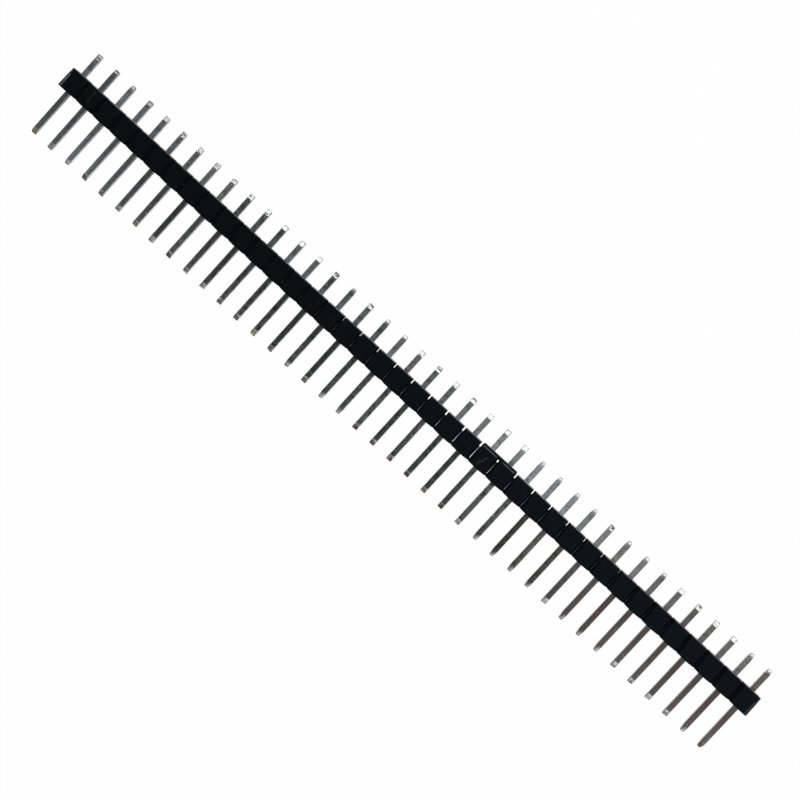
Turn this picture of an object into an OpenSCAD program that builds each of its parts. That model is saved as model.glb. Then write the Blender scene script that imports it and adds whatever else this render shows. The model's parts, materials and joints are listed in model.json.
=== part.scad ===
// Breakaway pin header strip: one moulded row of cells with a square pin pressed through each.
//
// X runs along the row. The long contacts point to -Y and the short solder tails to +Y.
// The strip lies on one side of its body, so Z = 0 is the surface under it. The origin is
// on that surface, at the middle of the strip's outline. All sizes are in millimetres.

/* [Row] */
// Number of pins in the row
pin_count = 40; // [26:1:50]
// Distance from one pin to the next
pitch = 2.54; // [2.1:0.01:3.2]

/* [Body] */
// Height of the body, along the pins
body_h = 2.5; // [2:0.05:4]
// Thickness of the body, across the row
body_t = 2.5; // [1.9:0.05:4]

/* [Break lines] */
// Width of the open slot between two cells
slot_w = 0.2; // [0.12:0.01:0.4]
// Depth of the open slot, from the seating face
slot_depth = 0.55; // [0.3:0.01:0.9]
// Width of one flank of the groove between two cells
groove_w = 0.2; // [0.1:0.01:0.3]
// Depth of that groove, on each side of the body
groove_d = 0.3; // [0.15:0.01:0.6]
// Width of the fine slit that carries the slot on through the web, where it leaves the slot
slit_near = 0.02; // [0.02:0.01:0.06]
// Width of the slit at the bridge
slit_far = 0.06; // [0.03:0.01:0.1]
// Thickness of the bridge that the slit leaves at the contact side
bridge = 0.32; // [0.2:0.01:0.6]
// Length of the torn web on each end of the row, beside the slot
stub_near = 0.03; // [0.01:0.01:0.25]
// Length of the torn web on each end of the row, at the contact side
stub_far = 0.08; // [0.03:0.01:0.4]

/* [Contact side] */
// Depth of the shallow arch between two pins
arch_depth = 0.04; // [0.02:0.01:0.25]
// Flat land between a pin and the start of the arch
arch_land = 0.1; // [0.05:0.01:0.2]
// Width of the notch that marks a break line on the contact side
notch_w = 0.24; // [0.1:0.01:0.4]
// Depth of that notch, from the arch
notch_d = 0.05; // [0.02:0.01:0.12]

/* [Gate mark] */
// First of the two pins whose cells the gate mark joins
gate_pin = 25; // [1:1:25]
// Height of the gate mark over the seating face
gate_h = 0.18; // [0.1:0.01:0.3]
// How far the gate mark stays inside the outer sides of its two cells
gate_inset = 0.08; // [0.02:0.01:0.3]
// How far the gate mark stays below the upper side of the body, and above the lower one
gate_drop = 0.35; // [0.1:0.01:0.6]

/* [Pins] */
// Side of the square pin
pin_w = 0.64; // [0.5:0.01:0.8]
// Chamfer on the four long edges of the pin
pin_corner = 0.05; // [0.02:0.01:0.12]
// Length of the contact beyond the body
contact_len = 6; // [3:0.1:12]
// Length of the solder tail beyond the body
tail_len = 3; // [2:0.1:5]
// Length of the coined wedge on the contact's tip
contact_wedge = 0.75; // [0.3:0.01:1]
// Length of the coined wedge on the tail's tip
tail_wedge = 0.6; // [0.3:0.01:1]
// Thickness of a wedge at its end
wedge_end = 0.34; // [0.2:0.01:0.45]
// Chamfer on the two sides that a wedge leaves square
nose = 0.1; // [0.04:0.01:0.16]
// Height of a barb over the side of the pin
barb_h = 0.04; // [0.02:0.01:0.08]
// Length of a barb along the pin
barb_len = 0.4; // [0.2:0.01:0.55]

/* [Hidden] */
$fn = 96;
// Pins that sit a quarter turn round, so that their wedges are seen from the side
turned_pins = [3, 16, 18, 19, 27, 28, 29, 30, 32, 33, 34, 39, 40];
barbs = 3;

// The body is drawn about its own middle, with the pins' axes in the plane Z = 0
half_t = body_t / 2;
seat_y = body_h / 2;
cell_half = (pitch - slot_w) / 2;
row_half = (pin_count - 1) / 2 * pitch + cell_half;
end_x = row_half + max(stub_near, stub_far);
pin_half = pin_w / 2;
contact_y = -seat_y - contact_len;
tail_y = seat_y + tail_len;
// From the middle of the body to the strip's own origin
to_origin = [0, (contact_len - tail_len) / 2, half_t];
// Overrun of a cutting shape past the face that it cuts
over = 1;

function pin_name(i) = str("pin_", i < 10 ? "0" : "", i);
function pin_x(i) = (i - (pin_count + 1) / 2) * pitch;
function joint_x(i) = pin_x(i) + pitch / 2;
function is_turned(i) = len(search(i, turned_pins)) > 0;
function flipped(points, way) = [
    for (k = [len(points) - 1:-1:0]) [points[k].x * way.x, points[k].y * way.y]
];

// ---- body ----

// Upper line of the groove at one joint, seen along the pins
function groove_line(x) = [
    [x - slot_w / 2 - groove_w, half_t],
    [x - slot_w / 2, half_t - groove_d],
    [x + slot_w / 2, half_t - groove_d],
    [x + slot_w / 2 + groove_w, half_t]
];

// The row seen along the pins: flat cells with a groove at each joint, above and below
module row_section() {
    left_end = [
        [-end_x, half_t - groove_d],
        [-row_half, half_t - groove_d],
        [groove_w - row_half, half_t]
    ];
    upper = concat(
        left_end,
        [for (i = [1:pin_count - 1]) each groove_line(joint_x(i))],
        flipped(left_end, [-1, 1])
    );
    polygon(concat(upper, flipped(upper, [1, -1])));
}

// Open slot and fine slit at one joint, seen from above
module break_line() {
    translate([-slot_w / 2, seat_y - slot_depth]) square([slot_w, slot_depth + over]);
    polygon([
        [-slit_far / 2, bridge - seat_y],
        [slit_far / 2, bridge - seat_y],
        [slit_near / 2, seat_y - slot_depth],
        [slit_near / 2, seat_y],
        [-slit_near / 2, seat_y],
        [-slit_near / 2, seat_y - slot_depth]
    ]);
}

// Shallow arch that lifts the contact side between two pins
module arch() {
    half_chord = pitch / 2 - pin_half - arch_land;
    arch_r = (half_chord * half_chord + arch_depth * arch_depth) / (2 * arch_depth);
    translate([0, arch_depth - arch_r - seat_y]) circle(r = arch_r);
}

// Notch in the middle of the arch, drawn down to the level of the contact side
module break_notch() {
    notch_y = arch_depth + notch_d;
    half_base = notch_w / 2 * notch_y / notch_d;
    translate([0, -seat_y]) polygon([[-half_base, 0], [0, notch_y], [half_base, 0]]);
}

// Torn web on the right-hand end of the row
module end_stub() {
    polygon([
        [0, -seat_y],
        [row_half + stub_far, -seat_y],
        [row_half + stub_near, seat_y - slot_depth],
        [0, seat_y - slot_depth]
    ]);
}

// The row seen from above
module row_plan() {
    difference() {
        union() {
            square([2 * row_half, body_h], center = true);
            end_stub();
            mirror([1, 0]) end_stub();
        }
        for (i = [1:pin_count - 1]) {
            translate([joint_x(i), 0]) {
                break_line();
                arch();
                break_notch();
            }
        }
    }
}

module row_blank() {
    intersection() {
        linear_extrude(body_t + over, center = true) row_plan();
        rotate([90, 0, 0]) linear_extrude(body_h + over, center = true) row_section();
    }
}

// Sheared gate, which runs over one slot on the seating face
module gate_mark() {
    x_from = pin_x(gate_pin) - cell_half + gate_inset;
    x_to = pin_x(gate_pin + 1) + cell_half - gate_inset;
    translate([x_from, seat_y - gate_h, gate_drop - half_t])
        cube([x_to - x_from, 2 * gate_h, body_t - 2 * gate_drop]);
}

module strip_body() {
    color("#15181b")
    translate(to_origin)
    difference() {
        union() {
            row_blank();
            gate_mark();
        }
        for (i = [1:pin_count]) placed(i) pin_blank();
    }
}

// ---- pins ----

// Line of the barbs on one edge: each rises at once and runs out towards the tail
function barb_line() = concat(
    [for (k = [0:barbs - 1]) let (y = (k - barbs / 2) * barb_len) each [[pin_half, y], [pin_half + barb_h, y]]],
    [[pin_half, barbs / 2 * barb_len]]
);

// The pin seen on its barbed edges
module barbed_profile() {
    edge = concat(
        [[pin_half - nose, contact_y], [pin_half, contact_y + nose]],
        barb_line(),
        [[pin_half, tail_y - nose], [pin_half - nose, tail_y]]
    );
    polygon(concat(edge, flipped(edge, [-1, 1])));
}

// The pin seen on its coined wedges
module wedge_profile() {
    edge = [
        [contact_y, wedge_end / 2],
        [contact_y + contact_wedge, pin_half],
        [tail_y - tail_wedge, pin_half],
        [tail_y, wedge_end / 2]
    ];
    polygon(concat(edge, flipped(edge, [1, -1])));
}

// What the chamfers leave of the square wire, seen along it
module wire_section() {
    rotate(45) square((pin_w - pin_corner) * sqrt(2), center = true);
}

// A pin along Y, square but for its chamfers, its two coined tips and its barbs
module pin_blank() {
    intersection() {
        linear_extrude(pin_w + over, center = true) barbed_profile();
        rotate([90, 0, 90]) linear_extrude(pin_w + over, center = true) wedge_profile();
        rotate([90, 0, 0]) linear_extrude(2 * max(tail_y, -contact_y) + over, center = true) wire_section();
    }
}

module placed(i) {
    translate([pin_x(i), 0, 0]) rotate([0, is_turned(i) ? 90 : 0, 0]) children();
}

module pin(i) {
    color("#b4b6b3") translate(to_origin) placed(i) pin_blank();
}

strip_body();
for (i = [1:pin_count]) pin(i);
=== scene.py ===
"""Pin header strip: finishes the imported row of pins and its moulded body, and lights them.

Sizes are in metres. X runs along the row, the long contacts point to -Y and the short
solder tails to +Y, and the strip lies on the floor at Z = 0.
"""

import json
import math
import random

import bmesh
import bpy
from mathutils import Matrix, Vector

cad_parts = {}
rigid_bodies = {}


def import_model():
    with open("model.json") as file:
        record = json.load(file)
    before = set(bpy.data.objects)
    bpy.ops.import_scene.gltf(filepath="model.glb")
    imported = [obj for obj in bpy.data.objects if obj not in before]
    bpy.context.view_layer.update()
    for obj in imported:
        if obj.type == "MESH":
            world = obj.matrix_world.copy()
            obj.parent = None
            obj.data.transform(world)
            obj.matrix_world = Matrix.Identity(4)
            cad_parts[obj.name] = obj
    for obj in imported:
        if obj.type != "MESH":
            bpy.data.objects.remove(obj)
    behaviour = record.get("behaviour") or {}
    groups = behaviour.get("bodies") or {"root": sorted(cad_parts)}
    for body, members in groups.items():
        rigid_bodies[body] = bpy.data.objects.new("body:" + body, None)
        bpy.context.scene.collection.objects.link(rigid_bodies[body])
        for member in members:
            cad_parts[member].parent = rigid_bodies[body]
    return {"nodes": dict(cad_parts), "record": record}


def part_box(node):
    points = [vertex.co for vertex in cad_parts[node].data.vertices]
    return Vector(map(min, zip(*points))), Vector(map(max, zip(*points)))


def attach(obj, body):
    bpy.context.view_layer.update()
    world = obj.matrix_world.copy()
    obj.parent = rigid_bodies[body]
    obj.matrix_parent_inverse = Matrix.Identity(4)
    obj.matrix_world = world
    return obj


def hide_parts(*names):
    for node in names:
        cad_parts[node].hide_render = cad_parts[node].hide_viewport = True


bl_info = {
    "name": "Pin Header Strip",
    "version": (1, 0, 0),
    "blender": (4, 5, 0),
    "location": "View3D > Sidebar > Pin Strip",
    "description": "Models the finish of a breakaway pin header strip around its packed frame",
    "category": "Object",
}

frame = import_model()

MM = 0.001
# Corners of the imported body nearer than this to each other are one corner
SAME_CORNER = 0.001 * MM
# Points nearer than this to a ring of the wire lie on it
CLOSE = 0.002 * MM
# Points nearer than this to a cut aren't cut again
TOUCHING = 0.0001 * MM
# Share of a width that reaches from its middle to just past its side
PAST_SIDE = 0.6
# A face whose normal has more than this share along an axis is square to it
SQUARE_ON = 0.9
BODY = "root"
WHITE = (1.0, 1.0, 1.0, 1.0)
PIN_NAMES = sorted(name for name in frame["nodes"] if name.startswith("pin_"))

# Material slots of the moulding
MOULDED, GROOVE, SLOT_WALL, SLIT_WALL = range(4)
# Material slots of a pin
DRAWN, CONTACT_WEDGE, BRIGHT, CONTACT_END = range(4)
# Seeds of the torn ends, the sheared gate and the pins' tips
END_SEED, GATE_SEED, TIP_SEED = 4, 9, 11

# Barbs on each side of a pin, and the length over which one rises
BARBS = 3
BARB_RISE = 0.01 * MM
# Pins whose contact was sheared at a long slant, and shows bare metal there
BARE_CONTACTS = (1, 4, 5, 7, 9, 10, 12, 13, 14, 15, 17, 20, 21, 22, 23, 24, 25, 40)
# Joint between two cells, counted from 0, over which the gate was
GATE_JOINT = 24
# Scratched cells, counted from 0, where each scratch starts on it, how it leans, and its two ends
SCRATCHES = ((1, -0.6, -0.05, 0.8, 2.6), (24, -1.05, 0.32, 0.5, 2.2))
# Length over which a scratch fades out at its ends
SCRATCH_FADE = 0.3

# Least and greatest share of the long slant that one contact's end has
SLANT_SHARES = (0.75, 1.15)
# Least and greatest share of the wedge's end thickness that one tip has
THICKNESS_SHARES = (0.8, 1.06)
# Most that one wedge's start is off its place
WEDGE_SHIFT = 0.07 * MM
# Most that a sheared end slopes sideways, and half the width of a tip that this cuts across
SIDEWAYS_SLOPE = 0.1
WIDEST_TIP = 0.25 * MM

# Directions from the strip to the far windows, each with its share of their light
WINDOWS = (((0.3, -0.42, 1), 1.0), ((-0.2, -0.46, 1), 0.38))
# Direction from the strip to the darkest part of the ceiling
DARK_PATCH = (-0.1, -0.11, 1)
# Width of the camera's sensor in millimetres
SENSOR = 36


def length(name, description, default_mm):
    """One length of a property group, given in millimetres."""
    return bpy.props.FloatProperty(
        name=name, description=description, default=default_mm * MM, unit="LENGTH", precision=6
    )


def angle(name, description, default_degrees):
    """One angle of a property group, given in degrees."""
    return bpy.props.FloatProperty(
        name=name, description=description, default=math.radians(default_degrees), subtype="ANGLE"
    )


def amount(name, description, default):
    """One plain number of a property group."""
    return bpy.props.FloatProperty(name=name, description=description, default=default, precision=4)


def count(name, description, default):
    """One whole number of a property group."""
    return bpy.props.IntProperty(name=name, description=description, default=default)


def colour(name, description, default):
    """One colour of a property group."""
    return bpy.props.FloatVectorProperty(
        name=name, description=description, default=default, subtype="COLOR", size=3, precision=4
    )


class MouldingFinish(bpy.types.PropertyGroup):
    """Sizes and colours of the moulded body's finish."""

    edge_radius: length("Edge radius", "Rounding of the moulded edges", 0.05)
    slit: length("Slit", "Widest place of the fine slit in the web between two cells", 0.06)
    groove_reach: length("Groove reach", "From a joint's middle to past the groove's flanks", 0.31)
    sink_inset: length("Sink inset", "How far the sink starts from the rim of a cell's face", 0.1)
    sink_depth: length("Sink depth", "How far a cell's broad faces sink between their edges", 0.01)
    tear: length("Tear", "Roughness of the torn webs and of the sheared gate", 0.02)
    nylon: colour("Nylon", "Colour of the black moulding", (0.0001, 0.0021, 0.0042))
    mottled_nylon: colour("Mottled nylon", "Colour of faint patches", (0.00008, 0.00252, 0.00399))
    right_end_nylon: colour("Dusty nylon", "Its colour towards the right end", (0.0008, 0.0041, 0.0079))
    matt_nylon: colour("Matt nylon", "Colour of the grooves and slits", (0.0045, 0.0082, 0.0105))
    # Painted light: a colour much lighter than the nylon stands in for the floor's light reflected
    # into the open slots
    slot_nylon: colour("Slot nylon", "Colour of the walls of the open slots", (0.025, 0.04, 0.048))
    worn_nylon: colour("Worn nylon", "Colour of its scuffs", (0.036, 0.043, 0.05))
    # Painted highlight: pale nylon on the edges beside the torn gate and the outer webs
    edge_highlight_nylon: colour("Torn nylon", "Colour of the edges beside torn places", (0.1, 0.11, 0.12))


class PinFinish(bpy.types.PropertyGroup):
    """Sizes and colours of the pins' finish."""

    contact_wedge: length("Contact wedge", "Length of the coined wedge on the contact's tip", 0.75)
    tail_wedge: length("Tail wedge", "Length of the coined wedge on the tail's tip", 0.62)
    wedge_end: length("Wedge end", "Thickness of a wedge at its end", 0.41)
    wedge_step: length("Wedge step", "Depth of the step at which the coining tool stopped", 0.015)
    nose: length("Nose", "Chamfer on the two sides that a wedge leaves square", 0.1)
    long_nose: length("Long nose", "Where a turned pin starts to narrow towards its nose", 0.32)
    shear: length("Shear", "Rounding of the sheared end above and below", 0.035)
    dish_rim: length("Dish rim", "Width of the rim round a coined facet", 0.07)
    dish_depth: length("Dish depth", "How far the tool dished a coined facet", 0.005)
    long_slant: length("Long slant", "How far a bare contact's end slants back", 0.4)
    uneven: length("Uneven", "Most that a contact falls short of its full length", 0.11)
    short_slant: length("Short slant", "How far the other ends slant back", 0.08)
    corner: length("Corner", "Rounding of the drawn wire's four edges", 0.085)
    roll: angle("Roll", "Most that a pin is turned out of square in its hole", 1.2)
    barb_height: length("Barb height", "Height of a barb over the side of the wire", 0.04)
    barb_length: length("Barb length", "Length of one barb along the wire", 0.4)
    contact_draw: count("Contact draw", "Which draw gives the contacts their shades", 46509)
    tail_draw: count("Tail draw", "Which draw gives the tails their shades", 26081)
    tin: colour("Tin", "Colour of the coined plating", (0.56, 0.58, 0.58))
    bright_tin: colour("Bright tin", "Colour of the wire's brightest plating", (0.96, 1.0, 1.0))
    blue_tin: colour("Blue tin", "The same on most of the tails", (0.88, 0.98, 1.0))
    dull_tin: colour("Dull tin", "Colour of its dull patches", (0.58, 0.63, 0.64))
    # This colour serves both the real stains on the plating and the painted shade on it
    stain_and_shade: colour("Stain", "Colour of its dimmed and stained places", (0.17, 0.185, 0.185))
    tarnish: colour("Tarnish", "Brown of the worn plating", (0.4, 0.285, 0.255))
    gilt: colour("Gilt", "Yellow of the thin plating in places on the tips", (0.6, 0.5, 0.3))
    bronze: colour("Bronze", "Bare metal on the contacts' tips", (0.17, 0.105, 0.078))


class StageLook(bpy.types.PropertyGroup):
    """Camera, floor and light."""

    aim_x: length("Aim X", "Where the camera looks, along the row", 0.349)
    aim_y: length("Aim Y", "Where the camera looks, across the row", 0.073)
    distance: length("Distance", "From the camera to what it looks at", 207.38)
    lean_along: angle("Lean along", "Camera's lean from straight above, towards +X", 2.52)
    lean_across: angle("Lean across", "Camera's lean from straight above, towards +Y", 3.52)
    turn: angle("Turn", "Turn of the picture's right hand side from +X towards +Y", 42.49)
    lens: amount("Lens", "Focal length in millimetres, on a sensor 36 mm wide", 85.5)
    floor_size: length("Floor size", "Side of the square floor", 12000)
    floor: colour("Floor", "Colour of the floor as the lights show it", (0.86, 0.86, 0.86))
    floor_seen: amount("Floor seen", "Share of plain white in the floor as the eye sees it", 0.985)
    floor_in_metal: amount("Floor in metal", "Share of plain white in the floor's reflection", 0.4)
    key_radiance: amount("Key radiance", "Brightness of the soft box, where 1 is white", 1.6)
    key_tilt: angle("Key tilt", "Lean of the soft box from straight above, towards +Y", 34)
    key_distance: length("Key distance", "From the strip to the soft box", 350)
    key_width: length("Key width", "Soft box along the row", 700)
    key_depth: length("Key depth", "Soft box across the row", 250)
    ceiling: colour("Ceiling", "Light of the dim ceiling, where 1 is white", (0.16, 0.166, 0.166))
    walls: colour("Walls", "Light of the walls low down, where 1 is white", (0.42, 0.42, 0.42))
    shade: colour("Shade", "Light of the darkest part of the ceiling", (0.05, 0.052, 0.055))
    window: colour("Window", "Light of the far windows behind the contacts", (1.1, 1.1, 1.1))


# ---- shader maths ----


class Wire:
    """One output of a node. Arithmetic on it adds Math nodes."""

    def __init__(self, graph, socket):
        self.graph = graph
        self.socket = socket

    def output(self, name):
        """Another output of the same node."""
        return Wire(self.graph, self.socket.node.outputs[name])

    def maths(self, operation, first, second):
        """A Math node on two numbers or wires."""
        return self.graph.node("ShaderNodeMath", {"operation": operation}, {0: first, 1: second})

    def __add__(self, other):
        return self.maths("ADD", self, other)

    def __radd__(self, other):
        return self.maths("ADD", other, self)

    def __sub__(self, other):
        return self.maths("SUBTRACT", self, other)

    def __rsub__(self, other):
        return self.maths("SUBTRACT", other, self)

    def __mul__(self, other):
        return self.maths("MULTIPLY", self, other)

    def __rmul__(self, other):
        return self.maths("MULTIPLY", other, self)

    def __abs__(self):
        return self.graph.node("ShaderNodeMath", {"operation": "ABSOLUTE"}, {0: self})

    def whole(self):
        """The whole number below."""
        return self.graph.node("ShaderNodeMath", {"operation": "FLOOR"}, {0: self})

    def rise(self, low, high):
        """0 below low and 1 above high, with a smooth step between them."""
        settings = {"interpolation_type": "SMOOTHSTEP"}
        sockets = {"Value": self, "From Min": low, "From Max": high}
        return self.graph.node("ShaderNodeMapRange", settings, sockets)


def rgba(three):
    """A colour with full alpha."""
    return (*three, 1.0)


class Graph:
    """The node tree of one material or world, written as expressions."""

    def __init__(self, owner):
        owner.use_nodes = True
        self.tree = owner.node_tree
        self.tree.nodes.clear()

    def node(self, kind, settings=None, sockets=None):
        """Adds a node: first its settings, then the values or wires of its sockets."""
        made = self.tree.nodes.new(kind)
        for name, value in (settings or {}).items():
            setattr(made, name, value)
        for key, value in (sockets or {}).items():
            if isinstance(value, Wire):
                self.tree.links.new(value.socket, made.inputs[key])
            else:
                made.inputs[key].default_value = value
        return Wire(self, made.outputs[0] if made.outputs else None)

    def millimetres(self, stretch=(1, 1, 1)):
        """Place on the piece in millimetres, with each axis stretched."""
        place = self.node("ShaderNodeTexCoord").output("Object")
        scale = tuple(value / MM for value in stretch)
        return self.node("ShaderNodeVectorMath", {"operation": "MULTIPLY"}, {0: place, 1: scale})

    def axes(self, place):
        """The three numbers of a place."""
        first = self.node("ShaderNodeSeparateXYZ", None, {0: place})
        return first, first.output("Y"), first.output("Z")

    def noise(self, place, scale, detail=3.0, roughness=0.5):
        """Soft noise between 0 and 1, with scale features to a unit of place."""
        sockets = {"Vector": place, "Scale": scale, "Detail": detail, "Roughness": roughness}
        return self.node("ShaderNodeTexNoise", None, sockets)

    def blend(self, factor, first, second):
        """Mixes two colours."""
        mix = self.node("ShaderNodeMix", {"data_type": "RGBA"}, {0: factor, 6: first, 7: second})
        return mix.output(2)

    def layers(self, ground, coats):
        """Lays coats of colour over a ground colour, each by its own factor."""
        seen = rgba(ground)
        for factor, tint in coats:
            seen = self.blend(factor, seen, rgba(tint))
        return seen

    def relief(self, strength, depth, height):
        """Shades a height between 0 and 1 as relief of a depth in millimetres."""
        sockets = {"Strength": strength, "Distance": depth * MM, "Height": height}
        return self.node("ShaderNodeBump", None, sockets)

    def finish(self, surface, kind="ShaderNodeOutputMaterial"):
        """Joins the surface to the output node."""
        self.node(kind, None, {"Surface": surface})

    def surface(self, sockets):
        """Finishes the material with one surface that has these settings."""
        self.finish(self.node("ShaderNodeBsdfPrincipled", None, sockets))


# ---- materials ----

# Lengths in a material are in millimetres, from the strip's origin


def cut_material(name, tint, roughness, shine):
    """The moulding inside the break lines: matt in the grooves and slots, smooth in the slits; the
    slot walls get a lighter colour as painted light.
    """
    material = bpy.data.materials.new(name)
    Graph(material).surface(
        {"Base Color": rgba(tint), "Roughness": roughness, "Specular IOR Level": shine}
    )
    return material


def scratch_lines(graph, row, place, grain):
    """Fine scratches across their cells, which wander and fade out at both ends."""
    along_row, across, _ = graph.axes(place)
    wander = graph.noise(place, 1.1, 2.0) * 1.4
    lines = 0.0
    for cell, start, lean, near_end, far_end in SCRATCHES:
        away = along_row - (across * lean + wander + (row.pin_x[cell] / MM + start))
        line = (1.0 - abs(away).rise(0.03, 0.11)) * grain.rise(0.25, 0.6)
        line = line * across.rise(near_end, near_end + SCRATCH_FADE)
        lines = lines + line * (1.0 - across.rise(far_end - SCRATCH_FADE, far_end))
    return lines


def painted_edge_highlights(graph, row, place):
    """Painted highlights along the upper edges where the gate and the outer webs were torn off."""
    along_row, across, height = graph.axes(place)
    top = row.body_top / MM
    from_gate = abs(along_row - row.joint_x[GATE_JOINT] / MM)
    gate = (1.0 - from_gate.rise(2.2, 2.35)) * from_gate.rise(0.3, 0.5)
    gate = gate * (1.0 - abs(across - (row.seat_y / MM - 0.05)).rise(0.06, 0.13))
    gate = gate * height.rise(top - 0.3, top - 0.2) * graph.noise(place, 1.6, 3.0).rise(0.32, 0.5)
    # The painted highlight on the rim beside the outer webs is strongest at the left end of the row
    rim = 1.0 - abs(abs(along_row) - (row.end_x / MM - 0.33)).rise(0.05, 0.12)
    rim = rim * (1.0 - across.rise(1.9, 2.1)) * (1.0 - along_row.rise(-1.0, 1.0) * 0.7)
    return gate + rim * height.rise(top - 0.2, top - 0.1)


def nylon_material(look, row):
    """Black moulded nylon: satin, faintly mottled, scuffed, and with painted highlights on the
    edges where it was torn.
    """
    material = bpy.data.materials.new("black_nylon")
    graph = Graph(material)
    place = graph.millimetres()
    along_row = graph.axes(place)[0]
    mottle = graph.noise(place, 0.9, 2.0)
    grain = graph.noise(place, 22.0, 3.0)
    # Scuffs across the row, and a little fainter ones along it
    scuff = (
        graph.noise(graph.millimetres((3.2, 0.25, 1.0)), 1.7, 2.0).rise(0.66, 0.72) * 0.55
        + graph.noise(graph.millimetres((0.3, 2.6, 1.0)), 1.5, 2.0).rise(0.68, 0.74) * 0.45
    )
    worn = scuff * graph.noise(place, 7.0, 2.0).rise(0.4, 0.62)
    # Painted highlights on the edges beside the torn gate and webs, kept in the mask named torn
    torn = painted_edge_highlights(graph, row, place)
    coats = (
        (mottle.rise(0.42, 0.62), look.mottled_nylon),
        # Lighter towards the right end of the row
        (along_row.rise(-30.0, 25.0), look.right_end_nylon),
        (worn * 0.4 + scratch_lines(graph, row, place, grain), look.worn_nylon),
        (torn, look.edge_highlight_nylon),
    )
    sockets = {
        "Base Color": graph.layers(look.nylon, coats),
        "Roughness": 0.27 + grain * 0.1 + worn * 0.25 + torn * 0.3,
        "Specular IOR Level": 0.15,
        "Normal": graph.relief(0.5, 0.01, grain * 0.35 + worn * 0.4 + mottle),
    }
    graph.surface(sockets)
    return material


def draw_of_pin(graph, look, row, along_row, tail):
    """A number between 0 and 1 for each pin, drawn once for its contact and once for its tail."""
    number = (along_row * (MM / row.pitch) + len(PIN_NAMES) / 2).whole()
    draw = number + look.contact_draw + tail * (look.tail_draw - look.contact_draw)
    return graph.node("ShaderNodeTexWhiteNoise", {"noise_dimensions": "1D"}, {"W": draw})


def painted_shade(along_row, along_pin, tail, middle):
    """How much painted shade darkens the plating, along the row and along each pin."""
    # Painted shade: the contacts left of the middle of the row are a little darker all along
    left_shade = (1.0 - abs(along_row + 20.0).rise(6.0, 28.0)) * 0.2
    # Painted shade: others are dimmer near the body towards both ends of the row, and at their tips
    # round X 20
    foot = along_pin.rise(-4.5, -1.2)
    near_foot = (1.0 - along_row.rise(-12.0, 4.0)) * 0.4 + along_row.rise(28.0, 36.0) * 0.6
    near_tip = (1.0 - abs(along_row - 20.0).rise(8.0, 16.0)) * 0.35
    contacts = left_shade + foot * near_foot + (1.0 - foot) * near_tip
    # Painted shade: tails are dimmer near their tips, and at both ends of the row all along
    tails = middle * along_pin.rise(2.6, 4.2) * 0.35 + (1.0 - middle) * 0.17
    return (1.0 - tail) * contacts + tail * tails


def tin_material(look, row):
    """Tin over drawn wire: streaks along the wire, dull patches, specks, brown at one end, and
    painted shade along the row and the pins.
    """
    material = bpy.data.materials.new("plated_tin")
    graph = Graph(material)
    place = graph.millimetres()
    along_row, along_pin, _ = graph.axes(place)
    tail = along_pin.rise(1.0, 2.5)
    middle = 1.0 - abs(along_row).rise(20.0, 36.0)
    streaks = graph.noise(graph.millimetres((1.0, 0.06, 1.0)), 14.0, 3.0)
    patches = graph.noise(graph.millimetres((1.0, 0.55, 1.0)), 2.6, 4.0, 0.62)
    cloud = patches.rise(0.38, 0.64)
    spots = graph.noise(place, 1.4, 3.0, 0.65).rise(0.46, 0.66)
    blotched = 0.3 + middle * 0.55 + tail * (0.2 - middle * 0.3)
    specks = graph.noise(place, 4.5, 1.0).rise(0.68, 0.8)
    pits = graph.noise(place, 4.2, 2.0).rise(0.53, 0.63)
    each = draw_of_pin(graph, look, row, along_row, tail)
    blue = tail * along_row.rise(-36.0, -20.0) * (1.0 - along_row.rise(22.0, 34.0))
    # The plating is dullest on the tails a little past the middle of the row
    dull = tail * (0.3 + along_row.rise(-12.0, 20.0) * (0.85 - along_row.rise(22.0, 44.0) * 0.85))
    # It is brown with wear towards the right end of the row, most on the contacts
    worn = (1.0 - tail * 0.48) * along_row.rise(14.0, 30.0)
    worn = worn * 0.8 + (1.0 - tail) * along_row.rise(-16.0, -8.0) * 0.12
    coats = (
        (blue, look.blue_tin),
        (cloud * 0.3, look.dull_tin),
        (each * (0.72 - tail * 0.04), look.stain_and_shade),
        # Painted shade on the plating
        (painted_shade(along_row, along_pin, tail, middle), look.stain_and_shade),
        (spots * blotched, look.stain_and_shade),
        (pits * 0.3, look.stain_and_shade),
        (worn * (0.5 + streaks * 0.5), look.tarnish),
    )
    height = streaks * 0.25 + patches * (0.6 + dull * 0.6) + specks * 0.8
    sockets = {
        "Base Color": graph.layers(look.bright_tin, coats),
        "Metallic": 1.0,
        "Roughness": 0.15 + streaks * 0.05 + dull * (0.155 + cloud * 0.05) + specks * 0.4,
        "Normal": graph.relief(0.6, 0.012, height),
    }
    graph.surface(sockets)
    return material


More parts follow.
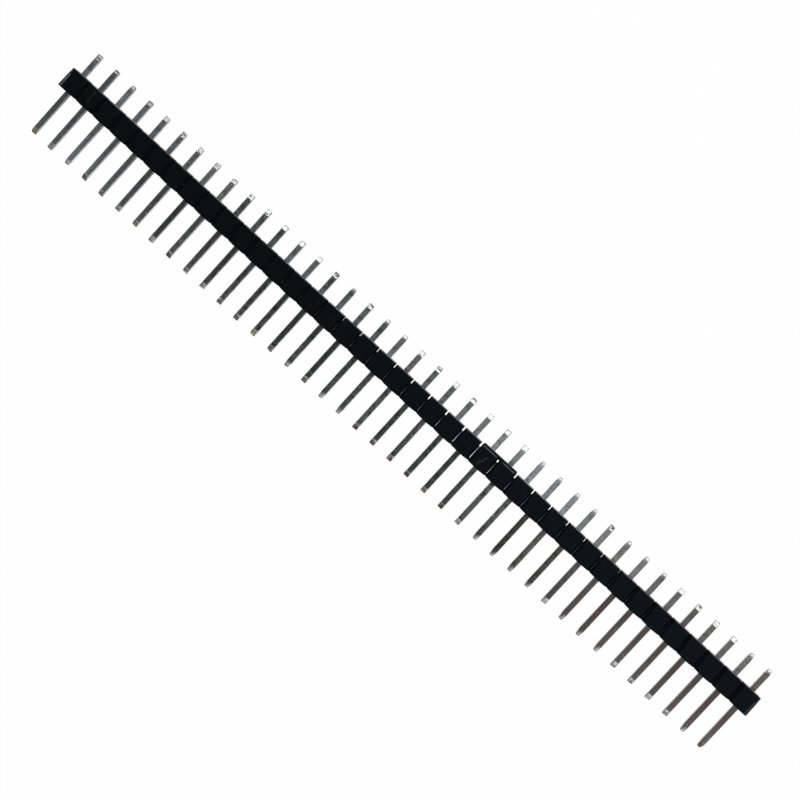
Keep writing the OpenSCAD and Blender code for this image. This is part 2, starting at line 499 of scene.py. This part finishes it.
def coined_material(look, row, name, bare):
    """Tin pressed by the coining tool into soft waves, with the bare metal showing through."""
    material = bpy.data.materials.new(name)
    graph = Graph(material)
    place = graph.millimetres()
    along_row, along_pin, _ = graph.axes(place)
    tip_y = row.tip_y / MM
    waves = graph.noise(graph.millimetres((1.0, 0.7, 1.0)), 3.4, 1.0)
    marks = graph.noise(graph.millimetres((1.0, 0.3, 1.0)), 9.0, 2.0)
    gilded = graph.noise(place, 1.7, 1.0).rise(0.6, 0.7)
    wear = graph.noise(place, 2.6, 2.0).rise(0.15, 0.5)
    wear = wear * (1.0 - along_pin.rise(tip_y + 0.35, tip_y + 0.8))
    dull = along_pin.rise(0.5, 2.5) * (1.0 - along_row.rise(-46.0, -20.0))
    coats = ((dull * 0.6, look.stain_and_shade), (wear * bare, look.bronze), (gilded * 0.6, look.gilt))
    # The waves are half as deep right of the middle of the row
    depth = 1.0 - along_row.rise(-20.0, 15.0) * 0.5
    sockets = {
        "Base Color": graph.layers(look.tin, coats),
        "Metallic": 1.0,
        "Roughness": 0.14 + marks * 0.1,
        "Normal": graph.relief(1.0, 0.08, (waves + marks * 0.1) * depth),
    }
    graph.surface(sockets)
    return material


# ---- modelling helpers ----


def only(piece):
    """Leaves one piece selected and active, in object mode."""
    if bpy.context.mode != "OBJECT":
        bpy.ops.object.mode_set(mode="OBJECT")
    bpy.ops.object.select_all(action="DESELECT")
    piece.select_set(True)
    bpy.context.view_layer.objects.active = piece


def pick(piece, kind, test):
    """Selects in edit mode the vertices, edges or faces for which a test is true."""
    bpy.ops.mesh.select_mode(type=kind)
    bpy.ops.mesh.select_all(action="DESELECT")
    form = bmesh.from_edit_mesh(piece.data)
    items = {"VERT": form.verts, "EDGE": form.edges, "FACE": form.faces}[kind]
    for item in items:
        if test(item):
            item.select_set(True)
    form.select_flush_mode()
    bmesh.update_edit_mesh(piece.data)


def copy_of(source, name):
    """A copy of an object with a mesh of its own."""
    piece = source.copy()
    piece.data = source.data.copy()
    piece.name = name
    bpy.context.collection.objects.link(piece)
    return piece


def smooth(piece, degrees):
    """Shades a piece smooth below an angle and keeps its broad faces flat."""
    only(piece)
    bpy.ops.object.shade_smooth_by_angle(angle=math.radians(degrees))
    bpy.ops.object.modifier_add(type="WEIGHTED_NORMAL")
    piece.modifiers[-1].keep_sharp = True
    bpy.ops.object.modifier_apply(modifier=piece.modifiers[-1].name)


# ---- moulding ----


class StripRow:
    """Places along the row, read from the frame."""

    def __init__(self):
        boxes = [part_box(name) for name in PIN_NAMES]
        self.pin_x = [(low.x + high.x) / 2 for low, high in boxes]
        self.pitch = (self.pin_x[-1] - self.pin_x[0]) / (len(boxes) - 1)
        self.joint_x = [x + self.pitch / 2 for x in self.pin_x[:-1]]
        low, high = boxes[0]
        self.tip_y = low.y
        self.tail_y = high.y
        self.axis_z = (low.z + high.z) / 2
        self.wire = high.z - low.z
        body_low, body_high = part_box("strip_body")
        self.contact_side_y = body_low.y
        self.body_top = body_high.z
        self.end_x = body_high.x
        mounts = {mount["name"]: mount for mount in frame["record"]["mounts"]}
        self.seat_y = mounts["board_seat"]["pos_m"][1]

    def to_joint(self, x):
        """Distance from a place along the row to the nearest joint between cells."""
        return min(abs(x - joint) for joint in self.joint_x)

    def to_pin(self, x):
        """Distance from a place along the row to the nearest pin's axis."""
        return min(abs(x - pin) for pin in self.pin_x)


def moulded_edge(row, look):
    """A test for the outer edges that the mould rounds."""
    slit_reach = look.slit * PAST_SIDE
    hole_reach = row.wire * PAST_SIDE

    def test(edge):
        if len(edge.link_faces) != 2 or not edge.is_convex:
            return False
        if edge.calc_face_angle() < math.radians(20):
            return False
        ends = [vertex.co for vertex in edge.verts]
        in_slit = all(row.to_joint(end.x) < slit_reach for end in ends)
        in_hole = all(
            row.to_pin(end.x) < hole_reach and abs(end.z - row.axis_z) < hole_reach for end in ends
        )
        return not in_slit and not in_hole

    return test


def sink_faces(piece, row, look, normal_z):
    """Lets the broad faces of all cells on one side sink a little between their edges."""
    least_area = (0.4 * row.pitch) ** 2
    pick(
        piece,
        "FACE",
        lambda face: face.normal.z * normal_z > 0.99 and face.calc_area() > least_area,
    )
    bpy.ops.mesh.inset(thickness=look.sink_inset, depth=-look.sink_depth, use_individual=True)


def roughen(piece, test, tear, seed):
    """Breaks up the chosen faces as torn plastic, within their outline."""
    pick(piece, "FACE", test)
    bpy.ops.mesh.subdivide(number_cuts=5)
    bpy.ops.mesh.select_less()
    bpy.ops.transform.vertex_random(offset=tear, uniform=0.3, normal=0.6, seed=seed)


def model_moulding(row, look):
    """Refines a merged copy of the moulded body: rounded edges, sunk faces and torn ends."""
    end_x = row.end_x - 0.1 * MM
    gate_y = row.seat_y + 0.1 * MM

    def on_end(face):
        return abs(face.calc_center_median().x) > end_x and abs(face.normal.x) > SQUARE_ON

    def on_gate(face):
        return face.calc_center_median().y > gate_y and face.normal.y > SQUARE_ON

    piece = bpy.data.objects.new("moulding", frame["nodes"]["strip_body"].data.copy())
    bpy.context.collection.objects.link(piece)
    only(piece)
    bpy.ops.mesh.customdata_custom_splitnormals_clear()
    bpy.ops.object.mode_set(mode="EDIT")
    bpy.ops.mesh.select_all(action="SELECT")
    bpy.ops.mesh.remove_doubles(threshold=SAME_CORNER)
    bpy.ops.mesh.dissolve_limited(angle_limit=math.radians(0.5))
    pick(piece, "EDGE", moulded_edge(row, look))
    bpy.ops.mesh.bevel(offset=look.edge_radius, segments=2, profile=0.5, clamp_overlap=True)
    sink_faces(piece, row, look, 1)
    sink_faces(piece, row, look, -1)
    roughen(piece, on_end, look.tear, END_SEED)
    roughen(piece, on_gate, look.tear, GATE_SEED)
    bpy.ops.object.mode_set(mode="OBJECT")
    smooth(piece, degrees=50)
    return piece


def finish_cuts(piece, row, look):
    """Gives the grooves, the walls of the open slots and the slits their own materials."""
    for face in piece.data.polygons:
        ends = [piece.data.vertices[number].co for number in face.vertices]
        away = max(row.to_joint(end.x) for end in ends)
        if away < look.slit * PAST_SIDE:
            face.material_index = SLIT_WALL
        elif away < look.groove_reach:
            face.material_index = SLOT_WALL if abs(face.normal.x) > SQUARE_ON else GROOVE
        else:
            face.material_index = MOULDED


# ---- pins ----


def cut_across(y):
    """Cuts the wire across at one place."""
    bpy.ops.mesh.select_all(action="SELECT")
    bpy.ops.mesh.bisect(plane_co=(0, y, 0), plane_no=(0, 1, 0), threshold=TOUCHING)


def scale_outline(piece, y, wide, thick):
    """Scales the wire's outline at one place."""
    pick(piece, "VERT", lambda vertex: abs(vertex.co.y - y) < CLOSE)
    bpy.ops.transform.resize(value=(wide, 1, thick), center_override=(0, y, 0))


def model_tip(piece, row, look, tip_y, wedge):
    """Shapes one end of the wire: the coined wedge, its step, the nose and the sheared end."""
    inward = -math.copysign(1, tip_y)
    half = row.wire / 2
    step_y = tip_y + inward * (wedge - look.wedge_step)
    nose_y = tip_y + inward * look.nose
    rings = (tip_y + inward * wedge, step_y, nose_y)
    for y in rings:
        cut_across(y)
    step_half = half - look.wedge_step
    end_half = look.wedge_end / 2
    nose_half = end_half + (step_half - end_half) * look.nose / wedge
    scale_outline(piece, step_y, 1, step_half / half)
    scale_outline(piece, nose_y, 1, nose_half / half)
    scale_outline(piece, tip_y, (half - look.nose) / half, (end_half - look.shear) / half)
    for y in rings:
        pick(piece, "EDGE", lambda edge: all(abs(end.co.y - y) < CLOSE for end in edge.verts))
        bpy.ops.mesh.mark_sharp()
    # The two broad facets of the wedge, without the rounded edges beside them
    low, high = sorted((step_y, nose_y))
    pick(
        piece,
        "FACE",
        lambda face: low < face.calc_center_median().y < high and abs(face.normal.z) > 0.955,
    )
    bpy.ops.mesh.inset(thickness=look.dish_rim, depth=-look.dish_depth, use_individual=True)


def model_barbs(piece, row, look):
    """Raises the barbs that hold the wire in the body, each running out towards the tail."""
    first = (row.contact_side_y + row.seat_y - BARBS * look.barb_length) / 2
    starts = [first + step * look.barb_length for step in range(BARBS)]
    peaks = [start + BARB_RISE for start in starts]
    for y in (*starts, *peaks, first + BARBS * look.barb_length):
        cut_across(y)
    for y in peaks:
        scale_outline(piece, y, 1 + 2 * look.barb_height / row.wire, 1)


def model_wire(row, look):
    """Models one pin on the Y axis from a bar: rounded edges, barbs and both tips."""
    long = row.tail_y - row.tip_y
    middle = (row.tail_y + row.tip_y) / 2
    bpy.ops.object.select_all(action="DESELECT")
    bpy.ops.mesh.primitive_cube_add(
        size=1, location=(0, middle, 0), scale=(row.wire, long, row.wire)
    )
    piece = bpy.context.active_object
    bpy.ops.object.transform_apply(location=True, rotation=False, scale=True)
    bpy.ops.object.mode_set(mode="EDIT")
    pick(piece, "EDGE", lambda edge: abs(edge.verts[0].co.y - edge.verts[1].co.y) > long / 2)
    bpy.ops.mesh.bevel(offset=look.corner, segments=3, profile=0.5)
    model_barbs(piece, row, look)
    model_tip(piece, row, look, row.tip_y, look.contact_wedge)
    model_tip(piece, row, look, row.tail_y, look.tail_wedge)
    bpy.ops.object.mode_set(mode="OBJECT")
    return piece


def finish_tips(piece, row, look):
    """Gives the wedges and the sheared ends their own materials."""
    contact_start = row.tip_y + look.contact_wedge
    tail_start = row.tail_y - look.tail_wedge

    def slot_of(face):
        y = face.center.y
        on_wedge = y < contact_start or y > tail_start
        on_nose = min(y - row.tip_y, row.tail_y - y) < look.long_nose
        if on_wedge and abs(face.normal.y) > 0.45:
            return CONTACT_END if y < contact_start else BRIGHT
        if y < contact_start and abs(face.normal.z) > 0.5:
            return CONTACT_WEDGE
        on_tail_facet = y > tail_start and abs(face.normal.z) > 0.5
        if on_tail_facet or (on_nose and abs(face.normal.x) > 0.8):
            return BRIGHT
        return DRAWN

    for face in piece.data.polygons:
        face.material_index = slot_of(face)


def shear_end(tip_y, half, slant, sideways, short, turned):
    """Cuts one end off at a slant, which is seen from above also where the pin is turned."""
    outward = math.copysign(1, tip_y)
    slope = slant / (2 * half)
    away = (-slope, outward, sideways) if turned else (sideways, outward, slope)
    cut_back = abs(slant) / 2 + abs(sideways) * WIDEST_TIP + short
    bpy.ops.mesh.select_all(action="SELECT")
    bpy.ops.mesh.bisect(
        plane_co=(0, tip_y - outward * cut_back, 0),
        plane_no=away,
        use_fill=True,
        clear_outer=True,
        threshold=TOUCHING,
    )


def vary_tips(piece, row, look, dice, bare, turned):
    """Gives one pin its own coining, sheared ends and a slight roll in its hole."""
    end_half = row.wire / 2 - look.nose if turned else look.wedge_end / 2
    slight = look.short_slant
    slants = (
        look.long_slant * dice.uniform(*SLANT_SHARES) if bare else dice.uniform(0, slight),
        dice.uniform(-slight, 1.2 * slight),
    )
    bpy.ops.object.mode_set(mode="EDIT")
    for tip_y, wedge, slant, short in (
        (row.tip_y, look.contact_wedge, slants[0], dice.uniform(0, look.uneven)),
        (row.tail_y, look.tail_wedge, slants[1], 0),
    ):
        inward = -math.copysign(1, tip_y)
        start = tip_y + inward * wedge
        reach = 1.5 * look.wedge_step
        pick(piece, "VERT", lambda vertex: abs(vertex.co.y - start) < reach)
        bpy.ops.transform.translate(value=(0, dice.uniform(-WEDGE_SHIFT, WEDGE_SHIFT), 0))
        nose_reach = 1.2 * look.nose
        pick(piece, "VERT", lambda vertex: abs(vertex.co.y - tip_y) < nose_reach)
        bpy.ops.transform.resize(
            value=(1, 1, dice.uniform(*THICKNESS_SHARES)), center_override=(0, tip_y, 0)
        )
        if turned:
            cut_across(tip_y + inward * look.long_nose)
            scale_outline(piece, tip_y + inward * look.nose, 1 - look.nose / row.wire, 1)
        sideways = dice.uniform(-SIDEWAYS_SLOPE, SIDEWAYS_SLOPE)
        shear_end(tip_y, end_half, slant, sideways, short, turned)
    # The cuts can leave loose edges
    pick(piece, "EDGE", lambda edge: not edge.link_faces)
    bpy.ops.mesh.delete(type="EDGE")
    bpy.ops.mesh.select_all(action="SELECT")
    bpy.ops.mesh.normals_make_consistent(inside=False)
    roll = dice.uniform(-look.roll, look.roll)
    bpy.ops.transform.rotate(value=roll, orient_axis="Y", center_override=(0, 0, 0))
    bpy.ops.object.mode_set(mode="OBJECT")


def place_wire(piece, x, z, turned):
    """Turns a pin if it sits a quarter turn round, and moves its mesh to its cell."""
    if turned:
        piece.data.transform(Matrix.Rotation(math.radians(90), 4, "Y"))
    only(piece)
    bpy.ops.object.mode_set(mode="EDIT")
    bpy.ops.mesh.select_all(action="SELECT")
    bpy.ops.transform.translate(value=(x, 0, z))
    bpy.ops.object.mode_set(mode="OBJECT")


# ---- operators ----


def dress(piece, materials):
    """Gives a piece its materials and lets it ride on the body."""
    piece.data.materials.clear()
    for material in materials:
        piece.data.materials.append(material)
    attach(piece, BODY)


class STRIP_OT_moulding(bpy.types.Operator):
    """Model the moulded body with its rounded edges, sunk faces and torn ends"""

    bl_idname = "strip.moulding"
    bl_label = "Moulded Body"

    def execute(self, context):
        look = context.scene.strip_moulding
        row = StripRow()
        piece = model_moulding(row, look)
        if len(piece.data.polygons) < len(PIN_NAMES):
            raise RuntimeError("the moulded body has lost its cells")
        cuts = [
            cut_material("matt_nylon", look.matt_nylon, 0.7, 0.0),
            # Painted light on the walls of the open slots
            cut_material("slot_nylon", look.slot_nylon, 0.7, 0.0),
            cut_material("slit_nylon", look.matt_nylon, 0.17, 0.25),
        ]
        dress(piece, [nylon_material(look, row), *cuts])
        finish_cuts(piece, row, look)
        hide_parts("strip_body")
        return {"FINISHED"}


class STRIP_OT_pins(bpy.types.Operator):
    """Model one drawn and coined pin and copy it into every cell"""

    bl_idname = "strip.pins"
    bl_label = "Pins"

    def execute(self, context):
        look = context.scene.strip_pins
        row = StripRow()
        tin = tin_material(look, row)
        worn = coined_material(look, row, "coined_worn", 1.0)
        bright = coined_material(look, row, "coined_bright", 0.1)
        shear = coined_material(look, row, "sheared_end", 1.0)
        wire = model_wire(row, look)
        dice = random.Random(TIP_SEED)
        for number, name in enumerate(PIN_NAMES, 1):
            low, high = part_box(name)
            piece = copy_of(wire, name.replace("pin", "wire"))
            only(piece)
            turned = high.z - low.z > high.x - low.x
            bare = number in BARE_CONTACTS
            vary_tips(piece, row, look, dice, bare, turned)
            tip = [worn, bright, shear] if bare else [bright, bright, bright]
            dress(piece, [tin, *tip])
            finish_tips(piece, row, look)
            place_wire(piece, (low.x + high.x) / 2, (low.z + high.z) / 2, turned)
            smooth(piece, degrees=40)
            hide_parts(name)
        bpy.data.objects.remove(wire)
        if bpy.context.mode != "OBJECT":
            raise RuntimeError("a pin was left in edit mode")
        return {"FINISHED"}


class STRIP_OT_stage(bpy.types.Operator):
    """Set the pale floor, the soft light, the surroundings and the camera"""

    bl_idname = "strip.stage"
    bl_label = "Stage"

    def execute(self, context):
        look = context.scene.strip_stage
        make_floor(look)
        make_key(look)
        make_surroundings(context.scene, look)
        make_camera(context.scene, look)
        context.scene.view_settings.view_transform = "Standard"
        return {"FINISHED"}


# ---- stage ----


def make_floor(look):
    """A white floor that keeps the strip's shadow, faint to the eye and plain in the metal."""
    bpy.ops.object.select_all(action="DESELECT")
    bpy.ops.mesh.primitive_plane_add(size=look.floor_size)
    floor = bpy.context.active_object
    floor.name = "floor"
    material = bpy.data.materials.new("white_floor")
    graph = Graph(material)
    path = graph.node("ShaderNodeLightPath")
    seen = (path.output("Is Camera Ray") + path.output("Is Transmission Ray")) * look.floor_seen
    seen = seen + path.output("Is Glossy Ray") * look.floor_in_metal
    lit = graph.node("ShaderNodeBsdfDiffuse", None, {"Color": rgba(look.floor)})
    glow = graph.node("ShaderNodeEmission", None, {"Color": WHITE, "Strength": 1.0})
    graph.finish(graph.node("ShaderNodeMixShader", None, {0: seen, 1: lit, 2: glow}))
    floor.data.materials.append(material)


def make_key(look):
    """A wide soft box above the solder tails."""
    lean = Vector((0, math.sin(look.key_tilt), math.cos(look.key_tilt)))
    bpy.ops.object.light_add(type="AREA", location=lean * look.key_distance)
    key = bpy.context.active_object
    key.name = "soft_box"
    key.rotation_euler = lean.to_track_quat("Z", "Y").to_euler()
    key.data.shape = "RECTANGLE"
    key.data.size = look.key_width
    key.data.size_y = look.key_depth
    key.data.energy = look.key_radiance * math.pi * look.key_width * look.key_depth
    key.visible_camera = False


def make_surroundings(scene, look):
    """A dim room: grey walls, a darker ceiling with a dark patch, and two far windows."""
    world = bpy.data.worlds.new("dim_room")
    scene.world = world
    graph = Graph(world)
    way = graph.node("ShaderNodeTexCoord")
    height = graph.axes(way)[2]

    def near(direction, inner, outer):
        toward = tuple(Vector(direction).normalized())
        away = graph.node("ShaderNodeVectorMath", {"operation": "DISTANCE"}, {0: way, 1: toward})
        return 1.0 - away.output("Value").rise(inner, outer)

    coats = [(height.rise(0.3, 0.75), look.ceiling), (near(DARK_PATCH, 0.08, 0.24), look.shade)]
    for direction, share in WINDOWS:
        coats.append((near(direction, 0.12, 0.31) * share, look.window))
    sky = graph.layers(look.walls, coats)
    light = graph.node("ShaderNodeBackground", None, {"Color": sky, "Strength": 1.0})
    graph.finish(light, "ShaderNodeOutputWorld")


def make_camera(scene, look):
    """A camera almost straight above the row, with the row across the picture."""
    aim = Vector((look.aim_x, look.aim_y, StripRow().axis_z))
    back = Vector((math.tan(look.lean_along), math.tan(look.lean_across), 1)).normalized()
    up = Vector((-math.sin(look.turn), math.cos(look.turn), 0))
    right = up.cross(back).normalized()
    turned = Matrix((right, back.cross(right), back)).transposed()
    bpy.ops.object.camera_add(location=aim + back * look.distance, rotation=turned.to_euler())
    camera = bpy.context.active_object
    camera.data.sensor_width = SENSOR
    camera.data.lens = look.lens
    camera.data.clip_start = 10 * MM
    scene.camera = camera


# ---- add-on ----


class VIEW3D_PT_strip(bpy.types.Panel):
    """Buttons and settings of the pin strip"""

    bl_idname = "VIEW3D_PT_strip"
    bl_label = "Pin Strip"
    bl_space_type = "VIEW_3D"
    bl_region_type = "UI"
    bl_category = "Pin Strip"

    def draw(self, context):
        for operator, settings in (
            (STRIP_OT_moulding, context.scene.strip_moulding),
            (STRIP_OT_pins, context.scene.strip_pins),
            (STRIP_OT_stage, context.scene.strip_stage),
        ):
            box = self.layout.box()
            box.operator(operator.bl_idname)
            for name in settings.__annotations__:
                box.prop(settings, name)


CLASSES = (
    MouldingFinish,
    PinFinish,
    StageLook,
    STRIP_OT_moulding,
    STRIP_OT_pins,
    STRIP_OT_stage,
    VIEW3D_PT_strip,
)


def register():
    """Registers the classes and the settings that they use."""
    for item in CLASSES:
        bpy.utils.register_class(item)
    bpy.types.Scene.strip_moulding = bpy.props.PointerProperty(type=MouldingFinish)
    bpy.types.Scene.strip_pins = bpy.props.PointerProperty(type=PinFinish)
    bpy.types.Scene.strip_stage = bpy.props.PointerProperty(type=StageLook)


def unregister():
    """Takes the settings and the classes away again."""
    del bpy.types.Scene.strip_stage
    del bpy.types.Scene.strip_pins
    del bpy.types.Scene.strip_moulding
    for item in reversed(CLASSES):
        bpy.utils.unregister_class(item)


def main():
    """Builds the strip and its stage."""
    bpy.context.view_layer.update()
    register()
    bpy.ops.strip.moulding()
    bpy.ops.strip.pins()
    bpy.ops.strip.stage()


if __name__ == "__main__":
    main()
